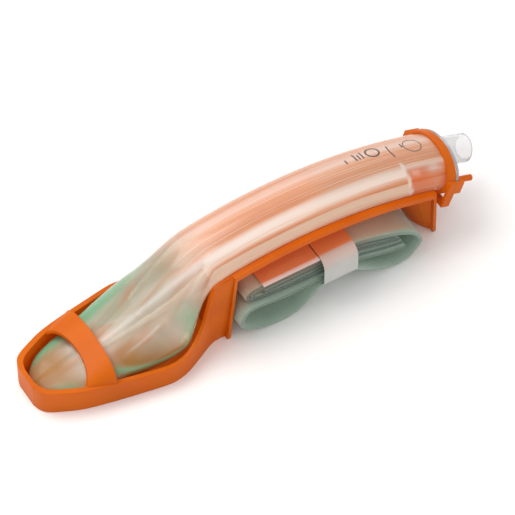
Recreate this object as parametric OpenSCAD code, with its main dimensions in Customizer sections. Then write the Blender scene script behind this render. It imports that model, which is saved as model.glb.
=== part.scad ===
// Single-use supraglottic airway lying in its moulded protective cradle, with the
// folded head strap, paper band and lubricant sachet that are packed under the arch.
// Millimetres. +X runs from the cradle's nose towards the 15 mm connector, +Y is the
// far side and +Z is up. The table is z = 0 and the origin is below the middle.

/* [Cradle bowl] */
// Length of the bowl, from its nose to the neck
bowl_len = 105; // [103:0.5:107]
// Thickness of the bowl's side wall
wall = 2.4; // [1.8:0.1:2.8]
// Thickness of the bowl's floor
floor_t = 1.6; // [1.2:0.1:1.8]
// Place of the bridge band's front edge on the rim
bridge_x = 20.5; // [20:0.5:22]
// Width of the bridge band on the rim
bridge_w = 17; // [15:0.5:18]
// Height of the bridge band's rear edge at its crown
bridge_h = 24.5; // [24:0.5:28]

/* [Cradle arch] */
// Radius of the arch that the trough's rim follows
arch_r = 245; // [243:1:247]
// Place of the arch's crown along the cradle
arch_x = 150; // [149:0.5:151]
// Height of the trough's rim at the crown
arch_top = 46.9; // [46.5:0.1:47.5]
// Thickness of the trough
trough_t = 1.4; // [1.2:0.1:1.6]
// Width of the out-turned rim
rim_w = 1.4; // [1:0.1:1.8]
// Depth of the rim's turned-down lip
rim_h = 3; // [2:0.2:3.4]
// Place of the trough's far end, over the foot
foot_x = 229; // [228:0.5:229.5]

/* [Airway stem] */
// Half width of the stem
stem_a = 17.5; // [17:0.1:17.6]
// Half height of the stem
stem_b = 12.2; // [11.6:0.1:12.4]
// Height of the stem's axis over the trough's rim
stem_lift = 3.4; // [3:0.1:4]
// Radius of the airway lumen
lumen_r = 6.2; // [5.5:0.1:6.4]
// Sideways offset of the airway lumen and the connector
lumen_y = 5.5; // [5:0.1:5.8]
// Radius of the gastric channel
gastric_r = 2.5; // [2:0.1:2.8]
// Sideways offset of the gastric channel
gastric_y = -10.6; // [-11:0.1:-10]
// Gap between pieces that only touch
gap = 0.3; // [0.25:0.05:0.35]

/* [Connector] */
// Outside diameter of the breathing-system connector
conn_od = 15.4; // [15:0.1:15.6]
// Length of the connector beyond its flange
conn_len = 22; // [19:0.5:24]
// Place along the arch where the bite sleeve starts
sleeve_x = 171; // [165:1:180]
// Thickness of the end flange
end_t = 1.8; // [1.6:0.1:2.2]

/* [Hook ring] */
// Place of the ring's middle along the arch
ring_x = 238; // [237.5:0.1:239]
// Length of the ring along the stem
ring_w = 5; // [4:0.5:5]
// Thickness of the ring's band
ring_t = 2; // [1.8:0.1:2.1]
// Half distance between the outer faces of the two side hooks
hook_y = 21.6; // [21.4:0.1:23]
// Radius of the strap pegs
peg_r = 1.65; // [1.4:0.05:1.9]
// Length of the strap pegs
peg_len = 10; // [8:0.5:12]

/* [Strap pack] */
// Place of the folded strap's near edge across the cradle
strap_y0 = -27; // [-29:0.5:-26]
// Width of the folded strap
strap_w = 50; // [44:1:50]
// Place of the paper band along the cradle
band_x = 156.5; // [156:0.5:158]
// Width of the paper band
band_w = 20; // [16:1:20]
// Thickness of the paper band
band_t = 0.5; // [0.4:0.1:0.6]
// Height of the band's top
band_top = 34; // [33:0.1:34.2]
// Height of the band's bottom
band_low = 13; // [12:0.5:14]
// Thickness of the lubricant sachet
sachet_t = 1.2; // [0.8:0.1:1.2]

/* [Hidden] */
$fn = 64;
rim_z = arch_top - arch_r;
stem_r = arch_r + stem_lift;
trough_a = stem_a + gap;
trough_b = stem_b + gap;
rim_y = trough_a + trough_t + rim_w;
sleeve_step = 0.2;
sleeve_r = conn_od / 2 - sleeve_step;
sleeve_gap = 0.12;
root_angle = 0.1;
flange_gap = 0.06;
flange_a = stem_a + 2.1;
flange_b = stem_b + 1.2;
cuff_x = 96;
bridge_foot = 13;
lip_t = 1.8;
neck_x = bowl_len - 0.6;
neck_y = 19.2;
neck_lean = 7.5;
foot_low_x = 231;
foot_lean = -4;
bay_top = 43;

// Angle about the arch's centre of the place x along the arch
function arch_angle(x) = asin((x - arch_x) / stem_r);
// Height of the trough's rim, or of a line concentric with it, at x
function arch_height(x, lift = 0) = rim_z + sqrt(pow(arch_r + lift, 2) - pow(x - arch_x, 2));

ring_angle = arch_angle(ring_x);
end_angle = ring_angle + asin(ring_w / 2 / stem_r);
neck_angle = arch_angle(bowl_len);
foot_angle = arch_angle(foot_x);
cuff_angle = arch_angle(cuff_x);
end_x = arch_x + stem_r * sin(end_angle);
overall = end_x + (end_t + conn_len) * cos(end_angle) + conn_od / 2 * sin(end_angle);

// Smooth curve through [x, value] knots: a cubic between each pair, whose slope at a
// knot is taken from the knot's two neighbours
function knot(k, x, i = 0) = (i >= len(k) - 2 || x < k[i + 1][0]) ? i : knot(k, x, i + 1);
function slope(k, i) =
    let (a = max(i - 1, 0), b = min(i + 1, len(k) - 1))
    (k[b][1] - k[a][1]) / (k[b][0] - k[a][0]);
function curve(k, x) =
    let (i = knot(k, x), h = k[i + 1][0] - k[i][0], t = (x - k[i][0]) / h)
    k[i][1] * (2 * t * t * t - 3 * t * t + 1)
    + slope(k, i) * h * (t * t * t - 2 * t * t + t)
    + k[i + 1][1] * (3 * t * t - 2 * t * t * t)
    + slope(k, i + 1) * h * (t * t * t - t * t);
function column(k, j) = [for (p = k) [p[0], p[j]]];

// Half width of the bowl's outside, from the nose to the neck
bowl_half = [[0, 7], [1.2, 11], [4, 14.4], [12, 18.6], [21, 22.3], [36, 25.9], [51, 28.8],
             [62, 30.7], [68, 31.1], [76, 29.4], [85, 25.2], [94, 20.6], [99, 19.2], [110, 19.6]];
// Height of the bowl's rim, from the nose to the neck
rim_height = [[0, 15], [30, 13.8], [62, 12.5], [76, 13.2], [83, 16], [89, 21.5], [93, 30],
              [96, 38], [98, 41.5]];
// Length of the bowl's side walls, which run on to the neck flange
side_len = bowl_len + 5;

function ellipse(a, b, n = 64) = [for (i = [0:n - 1]) [a * cos(360 * i / n), b * sin(360 * i / n)]];
function mirrored(p) = concat(p, [for (i = [len(p) - 1:-1:0]) [p[i][0], -p[i][1]]]);

// Sweeps a profile, drawn as [distance from the arch's centre, -y], along the arch
module along_arch(from, to) {
    translate([arch_x, 0, rim_z])
        rotate([90, 0, 0])
            rotate([0, 0, 90 - to])
                rotate_extrude(angle = to - from, $fn = 360)
                    children();
}

// Sets a child on the stem's axis, with its +Z along the stem, +X down and +Y to the far side
module on_stem(angle) {
    translate([arch_x + stem_r * sin(angle), 0, rim_z + stem_r * cos(angle)])
        rotate([0, 90 + angle, 0])
            children();
}

// Moves the model so that the origin is below its middle
module placed() {
    translate([-overall / 2, 0, 0])
        children();
}

// Closed solid through a list of sections, each with the same number of points
module loft(sections) {
    n = len(sections[0]);
    m = len(sections);
    sides = [for (i = [0:m - 2]) for (j = [0:n - 1])
        let (k = (j + 1) % n)
        each [[i * n + j, (i + 1) * n + j, (i + 1) * n + k], [i * n + j, (i + 1) * n + k, i * n + k]]];
    caps = [[for (j = [0:n - 1]) j], [for (j = [n - 1:-1:0]) (m - 1) * n + j]];
    polyhedron([for (s = sections) each s], concat(sides, caps));
}

// ---- Cradle -------------------------------------------------------------------

function bowl_edge(inset, n = 52) =
    [for (i = [0:n])
        let (x = side_len * pow(i / n, 1.5))
        [inset * (1 - x / side_len) + x, curve(bowl_half, x) - inset]];

module bowl_plan(inset) {
    polygon(mirrored(bowl_edge(inset)));
}

module side_view(width = 100) {
    rotate([90, 0, 0])
        linear_extrude(height = width, center = true)
            children();
}

// Space that the stem fills along the trough, with its clearance and all that is above it
module stem_space() {
    along_arch(neck_angle - 5, foot_angle + 4) {
        translate([stem_r, 0])
            polygon(ellipse(trough_b, trough_a));
        translate([arch_r, -40])
            square([60, 80]);
    }
}

// Curved wall that closes one end of the strap bay. It spans the bay's flange, and its
// middle bulges towards the nose by low_depth at the table and top_depth at the trough
module end_wall(x, lean, foot_y, low_depth, top_depth) {
    rows = 6;
    steps = 18;
    loft([for (r = [0:rows])
        let (z = bay_top * r / rows - 0.5,
             edge = x + z * tan(lean),
             half = foot_y + (rim_y - 2 - foot_y) * r / rows,
             depth = low_depth + (top_depth - low_depth) * r / rows)
        concat([for (i = [0:steps])
                    let (s = 1 - 2 * i / steps)
                    [edge - depth * (1 - s * s), half * s, z]],
               [for (i = [0:steps])
                    let (s = 2 * i / steps - 1)
                    [edge - depth * (1 - s * s) + trough_t, half * s, z]])]);
}

// Side walls and floor, cut to the height of the rim and to the lean of the neck
module bowl() {
    rim = [for (x = [0:2:98]) [x, curve(rim_height, x)]];
    back = neck_x + bay_top * tan(neck_lean);
    intersection() {
        difference() {
            linear_extrude(height = 60)
                bowl_plan(0);
            translate([0, 0, floor_t])
                linear_extrude(height = 60)
                    bowl_plan(wall);
            translate([neck_x - 6, -neck_y + wall, -1])
                cube([30, 2 * (neck_y - wall), 60]);
        }
        side_view()
            polygon(concat(rim, [[back, bay_top], [neck_x, 0], [0, 0]]));
    }
}

// Bridge band over the cuff's tip: a strip that leans with the cuff
function bridge_section(a) =
    let (s = sin(a),
         front = bridge_x + 8.5 * s,
         rear = bridge_x + bridge_w + 1.5 * s,
         low = bridge_foot - 6,
         zf = low + (bridge_h - 5 - low) * sqrt(max(s, 0)),
         zr = low + (bridge_h - low) * sqrt(max(s, 0)),
         yf = (curve(bowl_half, bridge_x) - 0.3) * cos(a),
         yr = (curve(bowl_half, bridge_x + bridge_w) - 0.3) * cos(a),
         k = 1 - 1.9 / curve(bowl_half, bridge_x))
    [[front, yf * k, zf - 1.8 * s], [rear, yr * k, zr - 1.8 * s], [rear, yr, zr], [front, yf, zf]];

module bridge() {
    loft([for (i = [0:40]) bridge_section(180 * i / 40)]);
}

module trough() {
    along_arch(neck_angle - 1.4, foot_angle)
        translate([stem_r, 0])
            polygon(ellipse(trough_b + trough_t, trough_a + trough_t));
    along_arch(neck_angle + 0.8, foot_angle)
        translate([arch_r - rim_h, -rim_y])
            square([rim_h, 2 * rim_y]);
}

// Leaning flange that edges the strap bay: an upright leg at each side
module bay_flange(x, lean, foot_y) {
    leg_w = 4;
    for (side = [-1, 1])
        translate([x, 0, 0])
            rotate([0, lean, 0])
                rotate([90, 0, 90])
                    linear_extrude(height = 1.8, center = true)
                        polygon([[side * foot_y, -3], [side * (foot_y - leg_w), -3],
                                 [side * (rim_y - leg_w), bay_top], [side * rim_y, bay_top]]);
}

module cradle() {
    color("darkorange")
        placed()
            difference() {
                union() {
                    bowl();
                    trough();
                    end_wall(neck_x, neck_lean, 18.6, 7.5, 7);
                    end_wall(foot_low_x, foot_lean, 16, 6.5, 24);
                    bay_flange(neck_x, neck_lean, 22);
                    bay_flange(foot_low_x, foot_lean, 17);
                    bridge();
                }
                stem_space();
                translate([0, -50, -20])
                    cube([300, 100, 20]);
                side_view()
                    polygon([[103, 70], [98, 41.5], [bowl_len - 1, arch_height(bowl_len - 1)],
                             [bowl_len + 6, arch_height(bowl_len + 6)], [bowl_len + 6, 70]]);
            }
}

// ---- Airway -------------------------------------------------------------------

module airway_stem() {
    color("mistyrose")
        placed()
            difference() {
                along_arch(cuff_angle, end_angle)
                    translate([stem_r, 0])
                        polygon(ellipse(stem_b, stem_a));
                along_arch(cuff_angle - 1, end_angle + 1)
                    translate([stem_r, -lumen_y])
                        circle(r = lumen_r);
                along_arch(arch_angle(sleeve_x), end_angle + 1)
                    translate([stem_r, -lumen_y])
                        circle(r = sleeve_r + sleeve_gap);
                along_arch(cuff_angle - 1, end_angle + 1)
                    translate([stem_r, -gastric_y])
                        circle(r = gastric_r);
            }
}

// Lower and upper edge of the cuff as [place, x, z], and its half width as [place, y].
// The place runs from 0 at the tip to 1 at the stem
joint_low = [arch_x + (stem_r - stem_b) * sin(cuff_angle), rim_z + (stem_r - stem_b) * cos(cuff_angle)];
joint_top = [arch_x + (stem_r + stem_b) * sin(cuff_angle), rim_z + (stem_r + stem_b) * cos(cuff_angle)];
cuff_low = [[0, 3.6, 5.8], [0.15, 14, 4.4], [0.3, 28, 2.9], [0.5, 50, 2.4], [0.7, 76, 2.5], [0.8, 87, 6],
            [0.9, 92, 20], [1, joint_low[0], joint_low[1]]];
cuff_top = [[0, 3.6, 7], [0.15, 13, 11.2], [0.3, 28, 13.8], [0.45, 42, 19.2], [0.6, 55, 27.5],
            [0.75, 68, 37.5], [0.88, 81, 48], [1, joint_top[0], joint_top[1]]];
cuff_half = [[0, 2], [0.04, 7.6], [0.15, 14], [0.3, 19.6], [0.5, 24.5], [0.66, 27], [0.76, 26.2],
             [0.88, 21.4], [1, stem_a]];
// How much narrower the cuff is at its back than at its mouth
cuff_taper = [[0, 0], [0.2, 0.02], [0.5, 0.08], [0.75, 0.14], [0.9, 0.1], [1, 0]];

function cuff_section(u, n = 40) =
    let (low = [curve(column(cuff_low, 1), u), curve(column(cuff_low, 2), u)],
         top = [curve(column(cuff_top, 1), u), curve(column(cuff_top, 2), u)],
         mid = (low + top) / 2,
         up = (top - low) / 2,
         half = curve(cuff_half, u),
         taper = curve(cuff_taper, u),
         full = 1 - 1.9 * u * (1 - u))
    [for (j = [0:n - 1])
        let (s = sin(360 * j / n), c = s < 0 ? sign(cos(360 * j / n)) * pow(abs(cos(360 * j / n)), full)
                                             : cos(360 * j / n))
        [mid[0] + up[0] * s, half * c * (1 - taper * (1 + s) / 2), mid[1] + up[1] * s]];

// Mouth of the airway: a bowl in the cuff's underside
function mouth_section(u, n = 28) =
    let (x = 28 + 50 * u, deep = 12.5 * sqrt(max(1 - pow(2 * u - 1, 2), 0)), half = deep + 1)
    [for (j = [0:n - 1])
        [x + 0.3 * deep * sin(360 * j / n), half * cos(360 * j / n), 1.5 + 1.1 * deep * sin(360 * j / n)]];

// Straight end of the lumen, from the stem down to the mouth
module mouth_duct() {
    on_stem(cuff_angle)
        translate([0, lumen_y, 0])
            rotate([0, -32, 0])
                translate([0, 0, -38])
                    cylinder(r = lumen_r, h = 38.5, $fn = 32);
}

module soft_cuff() {
    color("lightgreen")
        placed()
            difference() {
                loft([for (i = [0:32]) cuff_section(i / 32)]);
                loft([for (i = [0:16]) mouth_section(0.02 + 0.96 * i / 16)]);
                mouth_duct();
            }
}

module connector() {
    color("white")
        placed()
            difference() {
                union() {
                    on_stem(end_angle)
                        translate([0, 0, flange_gap])
                            linear_extrude(height = end_t - flange_gap)
                                polygon(ellipse(flange_b, flange_a));
                    on_stem(end_angle)
                        translate([0, lumen_y, flange_gap])
                            cylinder(d = conn_od, h = end_t + conn_len - flange_gap);
                    along_arch(arch_angle(sleeve_x + gap), end_angle + root_angle)
                        translate([stem_r, -lumen_y])
                            circle(r = sleeve_r);
                }
                along_arch(arch_angle(sleeve_x) - 1, end_angle + root_angle)
                    translate([stem_r, -lumen_y])
                        circle(r = lumen_r - sleeve_step);
                on_stem(end_angle)
                    translate([0, lumen_y, flange_gap])
                        cylinder(r = lumen_r, h = end_t + conn_len + 1);
                on_stem(end_angle)
                    translate([0, gastric_y, -1])
                        cylinder(r = gastric_r, h = end_t + 2);
            }
}

// One side's hook: a slotted lug beside the ring, a lip over the end flange and a peg.
// The far one's lip and peg sit further out, clear of the connector
module side_hook(side) {
    front = ring_w / 2;
    lip_z = front + end_t + gap;
    bar = hook_y - flange_a - gap;
    peg_y = side > 0 ? 17.2 : 15.5;
    lip_y = peg_y - 1.9;
    mirror([0, side < 0 ? 1 : 0, 0]) {
        translate([-3, hook_y - bar, -front])
            cube([15.5, bar, ring_w]);
        translate([10.9, 11, -front])
            cube([1.6, hook_y - 11, ring_w - gap]);
        translate([-3, 17, -front])
            cube([3, hook_y - 17, ring_w - gap]);
        translate([-3, hook_y - bar, -front])
            cube([7, bar, lip_z + lip_t + front]);
        translate([-3, lip_y, lip_z])
            cube([7, hook_y - lip_y, lip_t]);
        translate([0.6, peg_y, lip_z])
            cylinder(r = peg_r, h = lip_t + peg_len);
    }
}

module hook_ring() {
    color("orangered")
        placed()
            on_stem(ring_angle)
                difference() {
                    union() {
                        translate([0, 0, -ring_w / 2])
                            linear_extrude(height = ring_w - gap)
                                polygon(ellipse(stem_b + gap + 0.65 * ring_t, stem_a + gap + ring_t));
                        side_hook(-1);
                        side_hook(1);
                    }
                    translate([0, 0, -ring_w])
                        linear_extrude(height = ring_w * 1.5)
                            polygon(ellipse(stem_b + gap, stem_a + gap));
                }
}

// ---- Strap pack ---------------------------------------------------------------

// Lower and upper edge of the folded strap, pinched in the middle by the band
strap_low = [[110, 10], [113.5, 5.4], [120.5, 1.8], [131, 1], [143, 4.2], [152, 12], [156, 13.8],
             [177, 13.8], [180, 12.5], [189, 6.5], [199, 1.2], [209, 0.6], [216, 3.4], [219, 9]];
strap_top = [[110, 10], [112, 20], [115, 29], [121, 32], [154, 32.4], [156, 32.2], [177, 32.2], [190, 30],
             [204, 25], [211, 18], [216, 13], [219, 9]];

module head_strap() {
    low = [for (x = [110:2:218]) [x, curve(strap_low, x)]];
    top = [for (x = [218:-2:112]) [x, curve(strap_top, x) + (x > 217 ? 0.6 : 0)]];
    color("cadetblue")
        placed()
            translate([0, strap_y0 + strap_w / 2, 0])
                side_view(strap_w)
                    polygon(concat(low, top));
}

function rounded(w, h, r, n = 6) =
    [for (q = [0:3]) for (i = [0:n])
        let (a = 90 * q + 90 * i / n, sx = (q == 0 || q == 3) ? 1 : -1, sy = q < 2 ? 1 : -1)
        [sx * (w / 2 - r) + r * cos(a), sy * (h / 2 - r) + r * sin(a)]];

module paper_band() {
    w = strap_w + 0.4;
    h = band_top - band_low - 2 * band_t;
    color("lightgrey")
        placed()
            translate([band_x, strap_y0 + strap_w / 2, (band_top + band_low) / 2])
                rotate([90, 0, 90])
                    linear_extrude(height = band_w)
                        difference() {
                            polygon(rounded(w + 2 * band_t, h + 2 * band_t, 0.8));
                            polygon(rounded(w, h, 0.3));
                        }
}

module lubricant_sachet() {
    color("white")
        placed()
            translate([123, -25.4, 32.9])
                cube([33, 38, sachet_t]);
}

cradle();
airway_stem();
soft_cuff();
connector();
hook_ring();
head_strap();
paper_band();
lubricant_sachet();
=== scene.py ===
import math

import bmesh
import bpy
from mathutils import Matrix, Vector


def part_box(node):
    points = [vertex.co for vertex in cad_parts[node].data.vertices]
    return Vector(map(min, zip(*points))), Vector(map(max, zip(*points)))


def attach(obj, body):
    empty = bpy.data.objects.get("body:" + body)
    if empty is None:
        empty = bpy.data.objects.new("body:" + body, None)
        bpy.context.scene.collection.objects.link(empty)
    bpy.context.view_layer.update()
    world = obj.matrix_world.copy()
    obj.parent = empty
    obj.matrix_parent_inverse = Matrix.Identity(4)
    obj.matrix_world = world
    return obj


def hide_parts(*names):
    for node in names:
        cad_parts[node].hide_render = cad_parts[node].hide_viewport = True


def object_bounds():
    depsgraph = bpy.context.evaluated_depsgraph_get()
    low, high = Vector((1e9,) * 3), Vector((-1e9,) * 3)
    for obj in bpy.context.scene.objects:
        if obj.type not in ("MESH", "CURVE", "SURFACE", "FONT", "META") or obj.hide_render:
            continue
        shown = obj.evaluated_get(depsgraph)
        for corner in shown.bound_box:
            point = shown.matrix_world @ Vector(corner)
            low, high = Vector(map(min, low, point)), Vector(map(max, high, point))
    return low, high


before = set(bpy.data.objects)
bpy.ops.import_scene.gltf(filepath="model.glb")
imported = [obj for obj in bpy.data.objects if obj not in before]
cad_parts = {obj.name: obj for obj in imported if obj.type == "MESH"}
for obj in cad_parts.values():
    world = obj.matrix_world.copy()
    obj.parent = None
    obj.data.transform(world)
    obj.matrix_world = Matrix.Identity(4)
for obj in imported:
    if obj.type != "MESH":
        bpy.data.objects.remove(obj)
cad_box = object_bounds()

# Lengths below are millimetres along the cradle from its nose, across it and up from the
# table, as in the part's source. place() turns them into the frame's metres.
MM = 0.001
nose = cad_box[0][0]


def place(x, y, z):
    return Vector((nose + x * MM, y * MM, z * MM))


def node_span(name):
    """Lowest and highest corner of a CAD node, in millimetres from the nose."""
    low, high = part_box(name)
    return [((p.x - nose) / MM, p.y / MM, p.z / MM) for p in (low, high)]


# ---- Shape of the arch, shared by the stem and what follows it ----------------------

ARCH_R = 245
ARCH_X = 150
ARCH_TOP = 46.9
STEM_LIFT = 3.4
STEM_R = ARCH_R + STEM_LIFT
STEM_A = 17.5
STEM_B = 12.2
RIM_Z = ARCH_TOP - ARCH_R
CUFF_X = 96
LUMEN_Y = 5.5
LUMEN_R = 6.2
GASTRIC_Y = -10.6
GASTRIC_R = 2.5
RING_X = 238
RING_W = 5
BITE_END = 215.4


def arch_angle(x):
    """Angle about the arch's centre of the place x along the arch."""
    return math.asin((x - ARCH_X) / STEM_R)


def on_arch(angle, radius, y):
    return Vector((ARCH_X + radius * math.sin(angle), y, RIM_Z + radius * math.cos(angle)))


CUFF_ANGLE = arch_angle(CUFF_X)
END_ANGLE = arch_angle(RING_X) + math.asin(RING_W / 2 / STEM_R)


def curve(knots, x):
    """Smooth curve through (x, value) knots, flat beyond the ends."""
    if x <= knots[0][0]:
        return knots[0][1]
    if x >= knots[-1][0]:
        return knots[-1][1]
    i = max(k for k in range(len(knots) - 1) if knots[k][0] <= x)

    def slope(k):
        a, b = max(k - 1, 0), min(k + 1, len(knots) - 1)
        return (knots[b][1] - knots[a][1]) / (knots[b][0] - knots[a][0])

    h = knots[i + 1][0] - knots[i][0]
    t = (x - knots[i][0]) / h
    return (knots[i][1] * (2 * t**3 - 3 * t**2 + 1) + slope(i) * h * (t**3 - 2 * t**2 + t)
            + knots[i + 1][1] * (3 * t**2 - 2 * t**3) + slope(i + 1) * h * (t**3 - t**2))


def bell(x, middle, width):
    """1 at the middle, falling to about a third at width."""
    return math.exp(-((x - middle) / width) ** 2)


def step(x, a, b):
    """0 up to a, 1 from b, smooth between."""
    t = min(max((x - a) / (b - a), 0), 1)
    return t * t * (3 - 2 * t)


# ---- Mesh tools --------------------------------------------------------------------

def new_object(name, verts, faces, sharp=35):
    mesh = bpy.data.meshes.new(name)
    mesh.from_pydata([place(*v) for v in verts], [], faces)
    mesh.validate()
    obj = bpy.data.objects.new(name, mesh)
    bpy.context.scene.collection.objects.link(obj)
    smooth(obj, sharp)
    return obj


def smooth(obj, sharp=35):
    mesh = obj.data
    mesh.shade_smooth()
    mesh.set_sharp_from_angle(angle=math.radians(sharp))


def loft(name, sections, closed=False, sharp=35):
    """Skin over sections of equal length. An open loft is capped at both ends."""
    n = len(sections[0])
    m = len(sections)
    verts = [p for s in sections for p in s]
    faces = []
    for i in range(m if closed else m - 1):
        a, b = i * n, ((i + 1) % m) * n
        for j in range(n):
            k = (j + 1) % n
            faces.append((a + j, b + j, b + k, a + k))
    if not closed:
        faces.append(tuple(range(n)))
        faces.append(tuple(range(m * n - 1, (m - 1) * n - 1, -1)))
    obj = new_object(name, verts, faces, sharp)
    make_outward(obj)
    return obj


def make_outward(obj):
    """Turns every face's normal outwards."""
    bm = bmesh.new()
    bm.from_mesh(obj.data)
    bmesh.ops.recalc_face_normals(bm, faces=bm.faces)
    bm.to_mesh(obj.data)
    bm.free()


def subtract(obj, cutter, sharp=35):
    """Cuts cutter out of obj and removes it."""
    mod = obj.modifiers.new("cut", "BOOLEAN")
    mod.operation = "DIFFERENCE"
    mod.solver = "EXACT"
    mod.object = cutter
    graph = bpy.context.evaluated_depsgraph_get()
    mesh = bpy.data.meshes.new_from_object(obj.evaluated_get(graph))
    obj.modifiers.clear()
    obj.data = mesh
    bpy.data.objects.remove(cutter)
    smooth(obj, sharp)


def set_attribute(obj, name, rule):
    """A float on each vertex, worked out from its place in millimetres."""
    attribute = obj.data.attributes.new(name, "FLOAT", "POINT")
    attribute.data.foreach_set(
        "value", [rule((v.co.x - nose) / MM, v.co.y / MM, v.co.z / MM) for v in obj.data.vertices])


# ---- Materials ---------------------------------------------------------------------

def srgb(r, g, b):
    """Linear colour from display values of 0 to 255."""
    return tuple(((c / 255 + 0.055) / 1.055) ** 2.4 for c in (r, g, b))


class Nodes:
    """Short calls for building one material's node tree."""

    def __init__(self, name):
        self.material = bpy.data.materials.new(name)
        self.material.use_nodes = True
        self.tree = self.material.node_tree
        self.tree.nodes.clear()
        self.out = self.tree.nodes.new("ShaderNodeOutputMaterial")

    def add(self, kind, **inputs):
        node = self.tree.nodes.new("ShaderNode" + kind)
        for key, value in inputs.items():
            if hasattr(node, key) and key.islower():
                setattr(node, key, value)
            else:
                self.put(node, key.replace("_", " "), value)
        return node

    def put(self, node, key, value):
        socket = node.inputs[key]
        if isinstance(value, bpy.types.NodeSocket):
            self.tree.links.new(value, socket)
        elif isinstance(value, tuple) and len(value) == 3 and socket.type == "RGBA":
            socket.default_value = (*value, 1)
        else:
            socket.default_value = value

    def math(self, operation, a, b=0.0, clamp=False):
        node = self.tree.nodes.new("ShaderNodeMath")
        node.operation = operation
        node.use_clamp = clamp
        for socket, value in zip(node.inputs, (a, b)):
            if isinstance(value, bpy.types.NodeSocket):
                self.tree.links.new(value, socket)
            else:
                socket.default_value = value
        return node.outputs[0]

    def mix(self, factor, a, b):
        node = self.tree.nodes.new("ShaderNodeMix")
        node.data_type = "RGBA"
        for key, value in ((0, factor), (6, a), (7, b)):
            socket = node.inputs[key]
            if isinstance(value, bpy.types.NodeSocket):
                self.tree.links.new(value, socket)
            else:
                socket.default_value = (*value, 1) if isinstance(value, tuple) else value
        return node.outputs[2]

    def between(self, value, low, high):
        """0 at low, 1 at high, smooth between."""
        node = self.tree.nodes.new("ShaderNodeMapRange")
        node.interpolation_type = "SMOOTHSTEP"
        self.tree.links.new(value, node.inputs[0])
        node.inputs[1].default_value = low
        node.inputs[2].default_value = high
        return node.outputs[0]

    def attribute(self, name):
        node = self.tree.nodes.new("ShaderNodeAttribute")
        node.attribute_name = name
        return node.outputs["Fac"]

    def coords(self, scale=(1, 1, 1)):
        """Object coordinates in millimetres, stretched by scale."""
        source = self.tree.nodes.new("ShaderNodeTexCoord").outputs["Object"]
        mapping = self.add("Mapping", Vector=source)
        mapping.inputs["Scale"].default_value = [s / MM for s in scale]
        return mapping.outputs[0]

    def noise(self, scale, detail=3.0, rough=0.5, warp=0.0):
        node = self.add("TexNoise", Vector=self.coords(scale), Scale=1.0, Detail=detail, Roughness=rough)
        node.inputs["Distortion"].default_value = warp
        return node.outputs[0]

    def flow_noise(self, along, across, detail=1.0, warp=0.2):
        """Noise whose streaks follow the length of the moulding."""
        x = self.add("SeparateXYZ", Vector=self.coords((along, 1, 1))).outputs[0]
        side = self.math("MULTIPLY", self.attribute("across"), across)
        vector = self.tree.nodes.new("ShaderNodeCombineXYZ")
        self.tree.links.new(x, vector.inputs[0])
        self.tree.links.new(side, vector.inputs[1])
        node = self.add("TexNoise", Vector=vector.outputs[0], Scale=1.0, Detail=detail, Roughness=0.5)
        node.inputs["Distortion"].default_value = warp
        return node.outputs[0]

    def ramp(self, value, *stops):
        node = self.tree.nodes.new("ShaderNodeValToRGB")
        self.tree.links.new(value, node.inputs[0])
        ramp = node.color_ramp
        while len(ramp.elements) < len(stops):
            ramp.elements.new(0.5)
        for element, (place_, colour) in zip(ramp.elements, stops):
            element.position = place_
            element.color = (*colour, 1) if isinstance(colour, tuple) else (colour, colour, colour, 1)
        return node.outputs[0]

    def bump(self, height, strength, distance):
        return self.add("Bump", Height=height, Strength=strength, Distance=distance * MM).outputs[0]

    def shadow_through(self, shader, tint, amount):
        """Lets light pass to what lies beneath, tinted, so that clear pieces don't shade it."""
        light = self.tree.nodes.new("ShaderNodeLightPath").outputs["Is Shadow Ray"]
        clear = self.add("BsdfTransparent", Color=tint).outputs[0]
        factor = self.math("MULTIPLY", light, amount)
        return self.blend(factor, shader, clear)

    def blend(self, factor, a, b):
        node = self.tree.nodes.new("ShaderNodeMixShader")
        for socket, value in zip(node.inputs, (factor, a, b)):
            if isinstance(value, bpy.types.NodeSocket):
                self.tree.links.new(value, socket)
            else:
                socket.default_value = value
        return node.outputs[0]

    def finish(self, shader):
        self.tree.links.new(shader, self.out.inputs["Surface"])
        return self.material


def orange_plastic(name, bevel=0.5):
    """Moulded translucent plastic: glossy skin, light that comes through from behind."""
    m = Nodes(name)
    cloud = m.noise((0.03, 0.05, 0.05), 2.0)
    fine = m.noise((1.4, 1.4, 1.4), 3.0)
    tone = m.mix(m.ramp(cloud, (0.3, 0.0), (0.7, 1.0)), srgb(210, 101, 0), srgb(222, 114, 0))
    glow = srgb(255, 146, 22)
    round_edge = m.add("Bevel", samples=6, Radius=bevel * MM).outputs[0]
    bump = m.add("Bump", Height=fine, Strength=0.12, Distance=0.05 * MM, Normal=round_edge).outputs[0]
    body = m.add("BsdfPrincipled", Base_Color=tone, Roughness=0.4, Specular_IOR_Level=0.22,
                 Normal=bump).outputs[0]
    through = m.add("BsdfTranslucent", Color=glow).outputs[0]
    return m.finish(m.shadow_through(m.blend(0.25, body, through), glow, 0.3))


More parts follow.
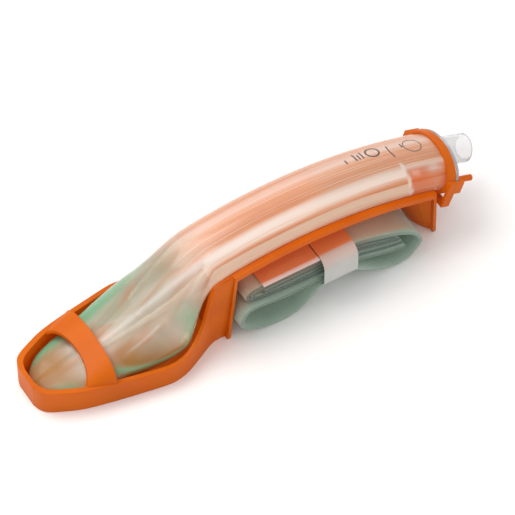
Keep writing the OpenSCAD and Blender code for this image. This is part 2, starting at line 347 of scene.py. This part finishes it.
def stem_tone(m):
    """Bands of peach and cream that run along the stem, with finer streaks in them. The peach is painted: the
    orange trough seen through the clear stem. The cream bands and pale streaks are painted highlights.
    """
    streak = m.flow_noise(0.012, 14, 2.0)
    line = m.flow_noise(0.009, 46, 2.0)
    waver = m.math("MULTIPLY", m.math("SUBTRACT", streak, 0.5), 0.07)
    across = m.math("ADD", m.attribute("across"), waver)
    # Across the stem: cream at 0.12-0.22 and 0.64 is painted highlight on the ridge and over the lumen walls.
    # The orange lines near both edges are the trough's rim, painted as seen through the stem's sides.
    tone = m.ramp(across, (0.0, srgb(232, 205, 180)), (0.045, srgb(228, 198, 172)),
                  (0.055, srgb(205, 120, 70)), (0.08, srgb(222, 165, 130)), (0.12, srgb(250, 236, 222)),
                  (0.22, srgb(246, 226, 208)), (0.28, srgb(222, 160, 120)), (0.42, srgb(224, 164, 128)),
                  (0.55, srgb(230, 170, 132)), (0.64, srgb(246, 222, 208)), (0.72, srgb(234, 198, 180)),
                  (0.82, srgb(236, 174, 132)), (0.95, srgb(236, 176, 142)), (0.985, srgb(205, 110, 60)))
    # Painted highlight streaks.
    tone = m.mix(m.ramp(line, (0.56, 0.0), (0.66, 0.45)), tone, srgb(255, 242, 228))
    tone = m.mix(m.ramp(line, (0.34, 0.3), (0.42, 0.0)), tone, srgb(210, 136, 94))
    # Painted orange of the trough, seen through the whole stem.
    return m.mix(0.14, tone, srgb(222, 140, 92))


def cuff_tone(m):
    """Grey-green gel with peach patches, browner at the tip. The peach patches and the browner tip are
    painted: the orange bowl seen through the gel.
    """
    cloud = m.flow_noise(0.022, 2.6, 2.0, 0.9)
    patch = m.flow_noise(0.028, 3.2, 1.0, 1.2)
    tone = m.mix(m.ramp(cloud, (0.38, 0.0), (0.62, 1.0)), srgb(172, 166, 142), srgb(216, 209, 192))
    # Painted orange of the bowl, seen through the gel in patches.
    tone = m.mix(m.ramp(patch, (0.54, 0.0), (0.66, 0.6)), tone, srgb(214, 156, 118))
    # Painted: the tip is browner where the orange bowl shows through it.
    return m.mix(m.attribute("tip"), tone, srgb(174, 124, 62))


def clear_elastomer(name):
    """Clear soft moulding: part milky, part glass, with painted light that its attributes place: highlights,
    shade, edge glow and the orange seen through it.
    """
    m = Nodes(name)
    tone = m.mix(m.attribute("cuff"), stem_tone(m), cuff_tone(m))
    # Painted light over the moulding's tone, one attribute each: highlights, amber shade low down, green glow
    # at thick edges, the orange seen through the clear end, and a highlight at the bite block's end.
    for tint, colour in (("shine", srgb(255, 250, 242)), ("painted_amber_shade", srgb(156, 102, 4)),
                         ("green", srgb(120, 200, 156)), ("clear", srgb(232, 108, 26)),
                         ("bite_end_highlight", srgb(255, 246, 236))):
        tone = m.mix(m.attribute(tint), tone, colour)
    bump = m.bump(m.flow_noise(0.03, 60, 2.0), 0.1, 0.1)
    glass = m.add("BsdfPrincipled", Base_Color=m.mix(0.5, tone, (1.0, 0.95, 0.9)), Roughness=0.1, IOR=1.34,
                  Transmission_Weight=1.0, Normal=bump).outputs[0]
    dull = m.math("ADD", m.math("MULTIPLY", m.attribute("tip"), 0.5), 0.2)
    soft = m.add("BsdfPrincipled", Base_Color=tone, Roughness=dull, Specular_IOR_Level=0.35, Coat_Weight=0.12,
                 Coat_Roughness=0.12, Normal=bump).outputs[0]
    return m.finish(m.shadow_through(m.blend(m.attribute("frost"), glass, soft), (1.0, 0.93, 0.88), 0.8))


def clear_plastic(name):
    """Clear hard plastic with a light haze, greyer where it is seen edge on: painted shade that darkens its
    edges.
    """
    m = Nodes(name)
    fine = m.noise((0.6, 0.6, 0.6), 2.0)
    round_edge = m.add("Bevel", samples=4, Radius=0.3 * MM).outputs[0]
    bump = m.add("Bump", Height=fine, Strength=0.05, Distance=0.1 * MM, Normal=round_edge).outputs[0]
    glass = m.add("BsdfPrincipled", Base_Color=(0.97, 0.97, 0.98), Roughness=0.06, IOR=1.3,
                  Transmission_Weight=1.0, Normal=bump).outputs[0]
    # Painted shade: the haze darkens toward edge-on views.
    rim = m.add("LayerWeight", Blend=0.35).outputs["Facing"]
    tone = m.mix(m.ramp(rim, (0.3, 0.0), (1.0, 1.0)), srgb(226, 226, 228), srgb(150, 150, 156))
    haze = m.add("BsdfPrincipled", Base_Color=tone, Roughness=0.25, Normal=bump).outputs[0]
    return m.finish(m.shadow_through(m.blend(0.3, glass, haze), (1.0, 0.99, 0.98), 0.7))


def arch_glow(m, tone, strength):
    """Orange light that comes down through the trough onto what lies under it."""
    split = m.add("SeparateXYZ", Vector=m.tree.nodes.new("ShaderNodeNewGeometry").outputs["Position"])
    y, z = split.outputs[1], split.outputs[2]
    far = m.math("SUBTRACT", 1.0, m.between(y, 14 * MM, 22 * MM))
    inner = m.math("MULTIPLY", m.between(y, -24.2 * MM, -21.5 * MM), far)
    high = m.math("MULTIPLY", m.between(z, 20 * MM, 33 * MM), m.between(y, -34 * MM, -26 * MM))
    under = m.math("MULTIPLY", m.between(z, 14 * MM, 27 * MM), inner)
    share = m.math("ADD", under, m.math("MULTIPLY", m.math("POWER", high, 2.0), 0.3), clamp=True)
    return m.mix(m.math("MULTIPLY", share, strength), tone, srgb(240, 128, 44))


def knitted_fabric(name):
    """Foam-backed knit: fine rows on the faces, a darker foam core at the cut edges, deepened by painted
    shade where edges lie stacked.
    """
    m = Nodes(name)
    knit = m.add("TexVoronoi", Vector=m.coords((1.5, 1.5, 1.5)), Scale=1.0).outputs["Distance"]
    fuzz = m.noise((2.4, 2.4, 2.4), 4.0, 0.7)
    cloud = m.noise((0.06, 0.06, 0.06), 2.0)
    face = m.mix(cloud, srgb(142, 168, 152), srgb(170, 190, 172))
    # Core colour: the foam's own darker edge, with painted shade of the gaps between stacked layers.
    core = m.mix(fuzz, srgb(20, 34, 30), srgb(60, 82, 74))
    tone = m.mix(m.attribute("core"), face, core)
    tone = m.mix(m.math("MULTIPLY", knit, 0.22), tone, srgb(196, 212, 198))
    tone = arch_glow(m, tone, 0.3)
    height = m.math("ADD", knit, fuzz)
    body = m.add("BsdfPrincipled", Base_Color=tone, Roughness=0.95, Sheen_Weight=0.2, Sheen_Roughness=0.5,
                 Normal=m.bump(height, 0.6, 0.25)).outputs[0]
    return m.finish(body)


def paper(name, colour, rough, grain):
    """Thin sheet with a fibre grain, which lets a little light through."""
    m = Nodes(name)
    fibre = m.noise((0.7, 0.7, 0.7), 4.0, 0.7)
    cloud = m.noise((0.05, 0.05, 0.05), 2.0)
    shade = tuple(c * 0.92 for c in colour)
    tone = m.mix(m.ramp(cloud, (0.3, 0.0), (0.7, 1.0)), shade, colour)
    tone = arch_glow(m, tone, 0.92)
    body = m.add("BsdfPrincipled", Base_Color=tone, Roughness=rough,
                 Normal=m.bump(fibre, grain, 0.1)).outputs[0]
    through = m.add("BsdfTranslucent", Color=tone).outputs[0]
    return m.finish(m.blend(0.12, body, through))


def ink(name):
    """Printed grey ink, a little uneven."""
    m = Nodes(name)
    tone = m.mix(m.noise((1.5, 1.5, 1.5), 2.0), srgb(50, 50, 52), srgb(84, 80, 78))
    return m.finish(m.add("BsdfPrincipled", Base_Color=tone, Roughness=0.4).outputs[0])


def dress(obj, material):
    obj.data.materials.clear()
    obj.data.materials.append(material)


# ---- Airway moulding: stem and cuff in one skin, with its channels --------------------

JOINT_LOW = on_arch(CUFF_ANGLE, STEM_R - STEM_B, 0)
JOINT_TOP = on_arch(CUFF_ANGLE, STEM_R + STEM_B, 0)
AFTER_LOW = on_arch(arch_angle(CUFF_X + 12), STEM_R - STEM_B, 0)
AFTER_TOP = on_arch(arch_angle(CUFF_X + 12), STEM_R + STEM_B, 0)
# Lower and upper edge of the cuff as (place, x, z), its half width, and how much narrower it is
# at its back than at its mouth. The place runs from 0 at the tip to 1 at the stem
CUFF_LOW = [(0, 3.6, 5.8), (0.15, 14, 4.4), (0.3, 28, 2.9), (0.5, 50, 2.4), (0.7, 76, 2.5), (0.8, 87, 6),
            (0.9, 92, 20), (1, JOINT_LOW.x, JOINT_LOW.z), (1.14, AFTER_LOW.x, AFTER_LOW.z)]
CUFF_TOP = [(0, 3.6, 7), (0.15, 13, 11.2), (0.3, 28, 13.8), (0.45, 42, 19.2), (0.6, 55, 27.5),
            (0.75, 68, 37.5), (0.88, 81, 48), (1, JOINT_TOP.x, JOINT_TOP.z),
            (1.14, AFTER_TOP.x, AFTER_TOP.z)]
CUFF_HALF = [(0, 2), (0.04, 7.6), (0.15, 14), (0.3, 19.6), (0.5, 24.5), (0.66, 27), (0.76, 26.2),
             (0.88, 21.4), (1, STEM_A), (1.14, STEM_A)]
CUFF_TAPER = [(0, 0), (0.2, 0.02), (0.5, 0.08), (0.75, 0.14), (0.9, 0.1), (1, 0), (1.14, 0)]
# Place across the moulding of the ridge over the gastric channel, at each x
RIDGE_Y = [(4, 0), (20, -0.5), (50, -4), (78, -8.2), (96, -10.4), (110, -10.6)]
AROUND = 96


def column(knots, j):
    return [(k[0], k[j]) for k in knots]


def cuff_frame(u):
    """Middle, half height, half width, taper and fullness of the cuff's section at u."""
    low = Vector((curve(column(CUFF_LOW, 1), u), 0, curve(column(CUFF_LOW, 2), u)))
    top = Vector((curve(column(CUFF_TOP, 1), u), 0, curve(column(CUFF_TOP, 2), u)))
    full = 1 - 1.9 * u * (1 - u)
    return (low + top) / 2, (top - low) / 2, curve(CUFF_HALF, u), curve(CUFF_TAPER, u), full


def stem_frame(angle):
    """The same for the stem's section at an angle about the arch's centre."""
    middle = on_arch(angle, STEM_R, 0)
    up = on_arch(angle, STEM_R + STEM_B, 0) - middle
    return middle, up, STEM_A, 0, 1


def skin_section(middle, up, half, taper, full, shrink=1.0):
    """One ring of the moulding, fuller below, with the raised ridge over the gastric channel."""
    ridge = 1.0 * step(middle.x, 18, 44) * (1 - 0.45 * step(middle.x, 95, 120))
    ring = []
    for j in range(AROUND):
        a = 2 * math.pi * j / AROUND
        s, c = math.sin(a), math.cos(a)
        if s < 0:
            c = math.copysign(abs(c) ** full, c)
        y = half * c * (1 - taper * (1 + s) / 2)
        lift = ridge * bell(y, curve(RIDGE_Y, middle.x), 2.6) if s > 0 else 0
        p = middle + up * (s * shrink) + up.normalized() * lift
        ring.append((p.x, y * shrink, p.z))
    return ring


def airway_skin():
    """Outer skin from the rounded tip to the end flange."""
    cuff_steps = 90
    stem_steps = 90
    sections = []
    for shrink in (0.25, 0.6, 0.85):
        middle, up, half, taper, full = cuff_frame(0)
        middle = middle - Vector((1.6 * (1 - shrink), 0, 0))
        sections.append(skin_section(middle, up, half, taper, full, shrink))
    sections += [skin_section(*cuff_frame((i / cuff_steps) ** 1.2)) for i in range(1, cuff_steps)]
    joint = len(sections)
    for i in range(stem_steps + 1):
        angle = CUFF_ANGLE + (END_ANGLE - CUFF_ANGLE) * i / stem_steps
        sections.append(skin_section(*stem_frame(angle)))
    ease(sections, joint, 16, 30)
    return loft("airway_moulding", sections)


def ease(sections, middle, reach, rounds):
    """Evens out the sections around the one at middle, so that no kink is left there."""
    for _ in range(rounds):
        before = [[Vector(p) for p in s] for s in sections[middle - reach - 1:middle + reach + 2]]
        for i in range(1, len(before) - 1):
            rings = zip(before[i - 1], before[i], before[i + 1])
            sections[middle - reach - 1 + i] = [tuple(b * 0.5 + (a + c) * 0.25) for a, b, c in rings]


def ring_about(centre, side, up, radius, n=28):
    return [tuple(centre + side * (radius * math.cos(2 * math.pi * i / n))
                  + up * (radius * math.sin(2 * math.pi * i / n))) for i in range(n)]


def swept_tube(name, path, radii, n=28):
    """Closed round bar along a path of points."""
    sections = []
    for i, centre in enumerate(path):
        along = (path[min(i + 1, len(path) - 1)] - path[max(i - 1, 0)]).normalized()
        side = Vector((0, 1, 0))
        side = (side - along * side.dot(along)).normalized()
        sections.append(ring_about(centre, side, along.cross(side), radii[i], n))
    return loft(name, sections)


BORE_STEPS = 60
BORE_SPAN = END_ANGLE + 0.01 - CUFF_ANGLE


def lumen_cutter():
    """Airway lumen: along the stem, then straight down to the mouth in the cuff's underside."""
    path = [on_arch(CUFF_ANGLE + BORE_SPAN * i / BORE_STEPS, STEM_R, LUMEN_Y)
            for i in range(BORE_STEPS, -1, -1)]
    turn = CUFF_ANGLE + math.radians(-32)
    down = Vector((-math.cos(turn), 0, math.sin(turn)))
    path += [path[-1] + down * (3 * i) for i in range(1, 13)]
    return swept_tube("lumen", path, [LUMEN_R] * len(path), 40)


def gastric_cutter():
    """Gastric channel: under the ridge, from the end flange to the tip, where it narrows."""
    path = [on_arch(END_ANGLE + 0.01 - BORE_SPAN * i / BORE_STEPS, STEM_R, GASTRIC_Y)
            for i in range(BORE_STEPS + 1)]
    stem_count = len(path)
    for i in range(1, 26):
        u = 1 - i / 26
        middle, up = cuff_frame(u)[:2]
        depth = 0.68 - 0.68 * step(1 - u, 0.55, 1.0)
        inside = up * (0.6 * depth * step(1 - u, 0, 0.25))
        path.append(Vector((middle.x + inside.x, curve(RIDGE_Y, middle.x), middle.z + inside.z)))
    middle = cuff_frame(0)[0]
    path.append(Vector((middle.x - 3, 0, middle.z)))
    radii = [GASTRIC_R if i < stem_count else max(0.45, GASTRIC_R - 2.0 * step(i, stem_count, len(path)))
             for i in range(len(path))]
    return swept_tube("gastric", path, radii, 24)


def mouth_cutter():
    """Mouth of the airway: a bowl in the cuff's underside."""
    around = 48
    rings = []
    for i in range(1, 32):
        t = i / 32
        deep = 12.5 * math.sqrt(1 - (2 * t - 1) ** 2)
        middle = Vector((28 + 50 * t, 0, 1.5))
        turns = [2 * math.pi * j / around for j in range(around)]
        rings.append([(middle.x + 0.3 * deep * math.sin(a), (deep + 1) * math.cos(a),
                       middle.z + 1.1 * deep * math.sin(a)) for a in turns])
    return loft("mouth", rings)


def build_airway():
    skin = airway_skin()
    for cutter in (lumen_cutter, gastric_cutter, mouth_cutter):
        subtract(skin, cutter())
    for name, rule in (("cuff", lambda x, y, z: 1 - step(x, 74, 108)),
                       ("across", lambda x, y, z: y / (2 * tip_half(x)) + 0.5),
                       ("tip", lambda x, y, z: 0.8 * (1 - step(x, 16, 34))),
                       ("frost", frost), ("green", green), ("shine", shine), ("clear", clear_end),
                       # Painted highlight: a bright line where the bite block ends inside the stem.
                       ("bite_end_highlight", lambda x, y, z: 0.9 * bell(x, BITE_END, 0.7) * step(-y, 6, 8)),
                       ("painted_amber_shade", painted_amber_shade)):
        set_attribute(skin, name, rule)
    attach(skin, "airway")
    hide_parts("airway_stem", "soft_cuff")
    dress(skin, clear_elastomer("clear_elastomer"))


def frost(x, y, z):
    """Share of the milky shader; the rest is clear."""
    if x > CUFF_X:
        return 0.62 + 0.2 * step(-y, 9, 13) * (1 - step(x, 214, 216))
    return min(0.62 - 0.12 * bell(x, 60, 20) + 0.35 * painted_amber_shade(x, y, z), 0.9)


def clear_end(x, y, z):
    """Beyond the bite block's end the near side is clear; the orange that shows through it is painted in,
    with a painted glint left out of it.
    """
    glint = 0.8 * bell(x, 232, 4) * bell(y, -13, 3)
    return 0.75 * step(x, BITE_END + 0.2, BITE_END + 1) * step(-y, 9.5, 12) * (1 - glint)


def tip_half(x):
    """Half width of the moulding at x."""
    return curve([(0, 2), (6, 9.6), (14, 14), (28, 19.6), (50, 24.5), (70, 26.6), (80, 25),
                  (100, STEM_A)], x)


def green(x, y, z):
    """Painted green glow along the cuff's far side, its near lower edge, its tip and its heel, where light
    runs through the gel's thick edges.
    """
    far = step(y, 9, 17) * (1 - step(x, 60, 88))
    near = 1.1 * bell(z, 14.3, 1.3) * step(-y, 12, 18) * step(x, 30, 44) * (1 - step(x, 84, 94))
    tip_edge = step(abs(y), 0.5 * tip_half(x), tip_half(x)) * (1 - step(x, 14, 30))
    heel = bell(x, 84, 6) * step(-y, 10, 17) * step(z, 4, 10) * (1 - step(z, 30, 42))
    return min(0.9 * far + 0.6 * near + 0.8 * tip_edge + 0.6 * heel, 0.9)


def painted_amber_shade(x, y, z):
    """Deep painted shade, tinted amber by the orange bowl seen through the gel: low on the near side of the
    cuff, and along the groove at its tip.
    """
    side = 0.95 * step(x, 34, 48) * (1 - step(x, 76, 90)) * step(-y, 5, 15) * (1 - step(z, 15, 31))
    groove = 0.6 * bell(y, 0, 1.3) * (1 - step(x, 16, 26)) if z > 6 else 0
    return min(side + groove + 0.25 * (1 - step(x, 18, 30)) * (1 - step(abs(y), 4, 9)), 0.9)


def shine(x, y, z):
    """Painted highlights: a bright line along the gastric channel's ridge, a pale shoulder, and a line along
    the slit on the near side.
    """
    ridge = bell(y, curve(RIDGE_Y, x) - 0.4, 1.6) * step(x, 24, 56) * (1 - 0.7 * step(x, 120, 190))
    shoulder = 0.12 * bell(x, 98, 18) * step(z, 40, 60)
    slit = 0.7 * bell(y, -16.8, 0.5) * step(x, 45, 48) * (1 - step(x, 66, 69)) if z > 6 else 0
    return min(0.85 * ridge + shoulder + slit, 0.9)


def on_stem_top(x, y, lift):
    """Point of the stem's upper skin above x, y, raised by lift."""
    middle, up, half = stem_frame(arch_angle(x))[:3]
    s = math.sqrt(1 - (y / half) ** 2)
    return middle + Vector((0, y, 0)) + up * s + up.normalized() * lift


def ink_strip(name, points, width, closed, material):
    """Printed line on the stem through points (x, y)."""
    count = len(points)
    sections = []
    for i, (x, y) in enumerate(points):
        before = points[i - 1] if (i or closed) else points[i]
        after = points[(i + 1) % count] if (i < count - 1 or closed) else points[i]
        along = Vector((after[0] - before[0], after[1] - before[1])).normalized() * (width / 2)
        ring = []
        for side, lift in ((1, 0.02), (1, 0.07), (-1, 0.07), (-1, 0.02)):
            ring.append(tuple(on_stem_top(x - along.y * side, y + along.x * side, lift)))
        sections.append(ring)
    mark = loft(name, sections, closed)
    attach(mark, "airway")
    dress(mark, material)


def build_marks(material):
    """Generic printed marks: a depth line, two rings and a few bars."""
    line = [(211.4 + 0.3 * math.cos(i / 2), -2.5 + 0.75 * i) for i in range(13)]
    ink_strip("mark_line", line, 0.6, False, material)
    turns = [2 * math.pi * i / 40 for i in range(40)]
    for name, x, y, radius, width in (("mark_ring_a", 224.5, 2.5, 4.6, 0.4),
                                      ("mark_ring_b", 203.0, 5.0, 3.4, 0.8)):
        circle = [(x + radius * math.cos(a), y + radius * math.sin(a)) for a in turns]
        ink_strip(name, circle, width, True, material)
    for i, (x, length) in enumerate(((197, 5.5), (195, 4), (193, 5.5), (187.5, 3), (219, 3))):
        bar = [(x, 2.5 + length * k / 6) for k in range(7)]
        ink_strip(f"mark_bar_{i}", bar, 0.7, False, material)


# ---- Strap pack --------------------------------------------------------------------

def dense_path(points, spacing=1.0):
    """Smooth Catmull-Rom path through points, with a point about every spacing."""
    pts = [Vector(p) for p in points]
    out = []
    for i in range(len(pts) - 1):
        p0, p1, p2, p3 = pts[max(i - 1, 0)], pts[i], pts[i + 1], pts[min(i + 2, len(pts) - 1)]
        count = max(2, int((p2 - p1).length / spacing))
        for k in range(count):
            t = k / count
            out.append(0.5 * ((2 * p1) + (p2 - p0) * t + (2 * p0 - 5 * p1 + 4 * p2 - p3) * t**2
                              + (3 * p1 - p0 - 3 * p2 + p3) * t**3))
    out.append(pts[-1])
    return out


def ribbon(name, points, thick, near, far, wave=0.5, core_shade_knots=((0, 1), (1, 1))):
    """Band of fabric whose edge follows points (x, z). It runs across from near to far, which
    is knots of (share of the length, y); so are the knots of how dark its cut edge is: the foam core, with
    painted shade where edges lie stacked."""
    path = dense_path(points)
    half, edge = thick / 2, min(thick / 2 * 0.9, 0.9)
    rows = 10
    sections = []
    count = len(path)
    length = 0
    for i, p in enumerate(path):
        before = path[max(i - 1, 0)]
        after = path[min(i + 1, count - 1)]
        along = (after - before).normalized()
        normal = Vector((-along.y, along.x))
        length += (p - before).length
        y0 = curve(near, i / count) + wave * math.sin(length / 17)
        y1 = far + wave * math.sin(length / 13)
        ring = []
        for k in range(rows + 1):
            ring.append((y0 + edge + (y1 - y0 - 2 * edge) * k / rows, half))
        for k in range(1, 4):
            a = math.pi * k / 4
            ring.append((y1 - edge + edge * math.sin(a), half * math.cos(a)))
        for k in range(rows, -1, -1):
            ring.append((y0 + edge + (y1 - y0 - 2 * edge) * k / rows, -half))
        for k in range(1, 4):
            a = math.pi * k / 4
            ring.append((y0 + edge - edge * math.sin(a), -half * math.cos(a)))
        sections.append([(p.x + normal.x * n, y, p.y + normal.y * n) for y, n in ring])
    obj = loft(name, sections, False, 50)
    ring_size = len(sections[0])
    far_edge = rows + 2
    near_edge = 2 * rows + 6
    middle = {far_edge, near_edge}
    rim = {far_edge - 1, far_edge + 1, near_edge - 1, near_edge + 1}
    attribute = obj.data.attributes.new("core", "FLOAT", "POINT")
    values = []
    for i in range(count):
        # Painted shade along the length: stacked edges darker, lone loop edges paler.
        shade = curve(core_shade_knots, i / count)
        for j in range(ring_size):
            values.append(shade * (1.0 if j in middle else 0.9 if j in rim else 0.0))
    attribute.data.foreach_set("value", values)
    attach(obj, "strap_pack")
    return obj


def layer_height(level, x):
    """Height at x of one of the strap's stacked layers. Level 0 is the lowest."""
    base = curve([(112, 22.0), (125, 21.0), (140, 19.9), (156, 19.6), (176, 19.6), (184, 18.0), (194, 14.9),
                  (204, 12.7), (212, 12.4)], x)
    pitch = curve([(112, 1.9), (125, 2.1), (140, 2.25), (156, 2.3), (176, 2.3), (194, 2.35), (204, 2.05),
                   (212, 1.5)], x)
    return base + level * pitch


def layer_run(level, a, b, count=10):
    """Points along a layer from a to b."""
    places = [a + (b - a) * i / count for i in range(count + 1)]
    return [(x, layer_height(level, x)) for x in places]


def outer_run_points():
    """Outer run: lowest layer, left loop, waist, right loop, over the stack and back under it.
    Gives its points and the share of its length at which the loops end."""
    points = layer_run(0, 207, 158, 6)
    points += [(148, 19.0), (135, 19.2), (124, 20.7), (116.5, 21.2), (112.2, 19.2), (109.7, 14.2),
               (109.5, 12.6), (112, 8.4), (118, 4.8), (126, 2.3), (134, 1.5), (142, 2.9), (149, 7.4),
               (154.5, 12.4), (160, 15.3), (167, 15.7), (175, 15.2), (181, 12), (189, 6.6), (198, 2.9),
               (206, 2.2), (212, 4.6), (216.2, 8.8), (216.8, 11.6), (214.6, 16), (210.6, 19.6)]
    loops = len(dense_path(points))
    points += layer_run(5, 204, 122)
    points += [(x, layer_height(level, x)) for x, level in ((116.4, 4.5), (114.4, 3), (116.4, 1.5))]
    points += layer_run(1, 122, 206)
    return points, loops / len(dense_path(points))


def inner_run_points():
    """Inner run: three layers wound between those of the outer one."""
    points = layer_run(3, 124, 198)
    points += [(202, layer_height(3.5, 202))]
    points += layer_run(4, 198, 122)
    points += [(118.4, layer_height(3.6, 119)), (117.6, layer_height(3, 118)),
               (118.4, layer_height(2.4, 119))]
    points += layer_run(2, 122, 205)
    return points


def build_strap(fabric):
    low, high = node_span("head_strap")
    near, far = low[1], high[1]
    outer, turn = outer_run_points()
    edge = ((0, near + 0.6), (turn - 0.06, near + 0.5), (turn + 0.1, near + 2.7), (1, near + 2.4))
    # Painted shade on the cut edges: paler where the loops stand out in the light, darker where the edges lie
    # stacked in the roll.
    shade = ((0, 0.8), (0.2, 0.7), (0.3, 0.35), (turn - 0.05, 0.35), (turn + 0.1, 0.9), (1, 1))
    bow = ribbon("strap_outer_run", outer, 2.1, edge, far - 0.6, 0.3, shade)
    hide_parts("head_strap")
    dress(bow, fabric)
    edge = ((0, near + 2.4), (1, near + 3.0))
    dress(ribbon("strap_inner_run", inner_run_points(), 1.95, edge, far - 1.5, 0.5), fabric)


def band_outline(near, far, low, top, corner=5):
    """Rounded rectangle round the strap, as points (y, z)."""
    corners = ((far - corner, top - corner), (near + corner, top - corner),
               (near + corner, low + corner), (far - corner, low + corner))
    outline = []
    for q, (y, z) in enumerate(corners):
        for k in range(7):
            a = math.radians(90 * q + 15 * k)
            outline.append((y + corner * math.cos(a), z + corner * math.sin(a)))
    return outline


def build_band(material):
    """Paper band: a closed thin sleeve, whose near face bulges."""
    (x0, near, low), (x1, far, top) = node_span("paper_band")
    thick = 0.35
    bulge = 1.8
    steps = 14
    outline = band_outline(near, far, low, top)
    verts = []
    for inset in (0, thick):
        for i in range(steps + 1):
            x = x0 + (x1 - x0) * (i / steps)
            for y, z in outline:
                inner_y = y - math.copysign(inset, y - (near + far) / 2)
                inner_z = z - math.copysign(inset, z - (low + top) / 2)
                out = bulge * math.sin(math.pi * (z - low) / (top - low)) if y < 0 else 0
                verts.append((x, inner_y - out, inner_z))
    n = len(outline)
    m = steps + 1
    faces = []
    for j in range(n):
        k = (j + 1) % n
        for i in range(steps):
            faces.append((i * n + j, (i + 1) * n + j, (i + 1) * n + k, i * n + k))
            a, b = (m + i) * n, (m + i + 1) * n
            faces.append((a + k, b + k, b + j, a + j))
        for end in (0, steps):
            a, b = end * n, (m + end) * n
            faces.append((a + j, a + k, b + k, b + j))
    obj = new_object("paper_sleeve", verts, faces, 50)
    make_outward(obj)
    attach(obj, "strap_pack")
    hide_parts("paper_band")
    dress(obj, material)


def build_sachet(material):
    """Flat pouch that swells inside its crimped seal."""
    (x0, near, low), (x1, far, top) = node_span("lubricant_sachet")
    length, width = x1 - x0, far - near
    nx, ny = 34, 38
    seal = 3.2
    middle = (low + top) / 2
    verts = []
    for side in (1, -1):
        for i in range(nx + 1):
            for j in range(ny + 1):
                u, v = i / nx, j / ny
                edge = min(u * length, (1 - u) * length, v * width, (1 - v) * width)
                swell = 0.12 + 0.42 * step(edge, seal, 8)
                crimp = 0.06 * math.sin(edge * 4) * (1 - step(edge, seal - 0.2, seal + 0.2))
                verts.append((x0 + u * length, near + v * width, middle + side * swell + crimp))
    faces = []
    half = (nx + 1) * (ny + 1)
    for i in range(nx):
        for j in range(ny):
            a = i * (ny + 1) + j
            b = a + ny + 1
            faces.append((a, b, b + 1, a + 1))
            faces.append((half + a + 1, half + b + 1, half + b, half + a))
    border = ([i * (ny + 1) for i in range(nx + 1)] + [nx * (ny + 1) + j for j in range(1, ny + 1)]
              + [i * (ny + 1) + ny for i in range(nx - 1, -1, -1)] + [j for j in range(ny - 1, 0, -1)])
    for k, a in enumerate(border):
        b = border[(k + 1) % len(border)]
        faces.append((a, b, half + b, half + a))
    obj = new_object("sachet_pouch", verts, faces, 50)
    make_outward(obj)
    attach(obj, "strap_pack")
    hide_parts("lubricant_sachet")
    dress(obj, material)


# ---- Assembly ----------------------------------------------------------------------

orange = orange_plastic("orange_plastic")
build_airway()
build_marks(ink("print_ink"))
build_strap(knitted_fabric("knitted_fabric"))
build_band(paper("band_paper", srgb(206, 206, 202), 0.85, 0.25))
build_sachet(paper("sachet_film", srgb(246, 246, 244), 0.45, 0.1))
for node_name, material in (("cradle", orange), ("hook_ring", orange),
                            ("connector", clear_plastic("clear_plastic"))):
    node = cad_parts[node_name]
    smooth(node, 28)
    dress(node, material)

# ---- Stage -------------------------------------------------------------------------

AZIMUTH = math.radians(-31.5)
ELEVATION = math.radians(51)
DISTANCE = 1.85
VIEW_WIDTH = 0.2601
target = Vector((0.0020, 0, 0.0226))


def add_camera():
    """Camera that looks at the target from AZIMUTH and ELEVATION."""
    data = bpy.data.cameras.new("camera")
    camera = bpy.data.objects.new("camera", data)
    bpy.context.scene.collection.objects.link(camera)
    back = Vector((math.sin(AZIMUTH) * math.cos(ELEVATION), -math.cos(AZIMUTH) * math.cos(ELEVATION),
                   math.sin(ELEVATION)))
    camera.location = target + back * DISTANCE
    camera.rotation_euler = back.to_track_quat("Z", "Y").to_euler()
    sensor = 36
    data.sensor_width = sensor
    data.lens = sensor * DISTANCE / VIEW_WIDTH
    bpy.context.scene.camera = camera


def add_light(name, place_, size, power, colour):
    data = bpy.data.lights.new(name, "AREA")
    data.size = size
    data.energy = power
    data.color = colour
    light = bpy.data.objects.new(name, data)
    light.location = place_
    light.rotation_euler = (Vector(place_) - target).to_track_quat("Z", "Y").to_euler()
    bpy.context.scene.collection.objects.link(light)


def add_stage():
    size = 6.0
    mesh = bpy.data.meshes.new("floor")
    corners = [(-size, -size, 0), (size, -size, 0), (size, size, 0), (-size, size, 0)]
    mesh.from_pydata(corners, [], [(0, 1, 2, 3)])
    floor = bpy.data.objects.new("floor", mesh)
    bpy.context.scene.collection.objects.link(floor)
    m = Nodes("floor_white")
    cloud = m.noise((0.002, 0.002, 0.002), 1.0)
    tone = m.mix(cloud, (0.93, 0.925, 0.92), (0.95, 0.945, 0.94))
    dress(floor, m.finish(m.add("BsdfPrincipled", Base_Color=tone, Roughness=0.9).outputs[0]))
    world = bpy.data.worlds.new("world")
    world.use_nodes = True
    sky = world.node_tree.nodes["Background"]
    sky.inputs["Color"].default_value = (1.0, 0.99, 0.985, 1)
    sky.inputs["Strength"].default_value = 0.74
    bpy.context.scene.world = world
    add_light("key", (-0.35, 0.42, 0.95), 0.8, 8.2, (1.0, 0.99, 0.97))
    add_light("fill", (0.5, -0.8, 0.7), 0.8, 1.2, (1.0, 0.98, 0.96))
    bpy.context.scene.view_settings.view_transform = "Standard"


add_camera()
add_stage()
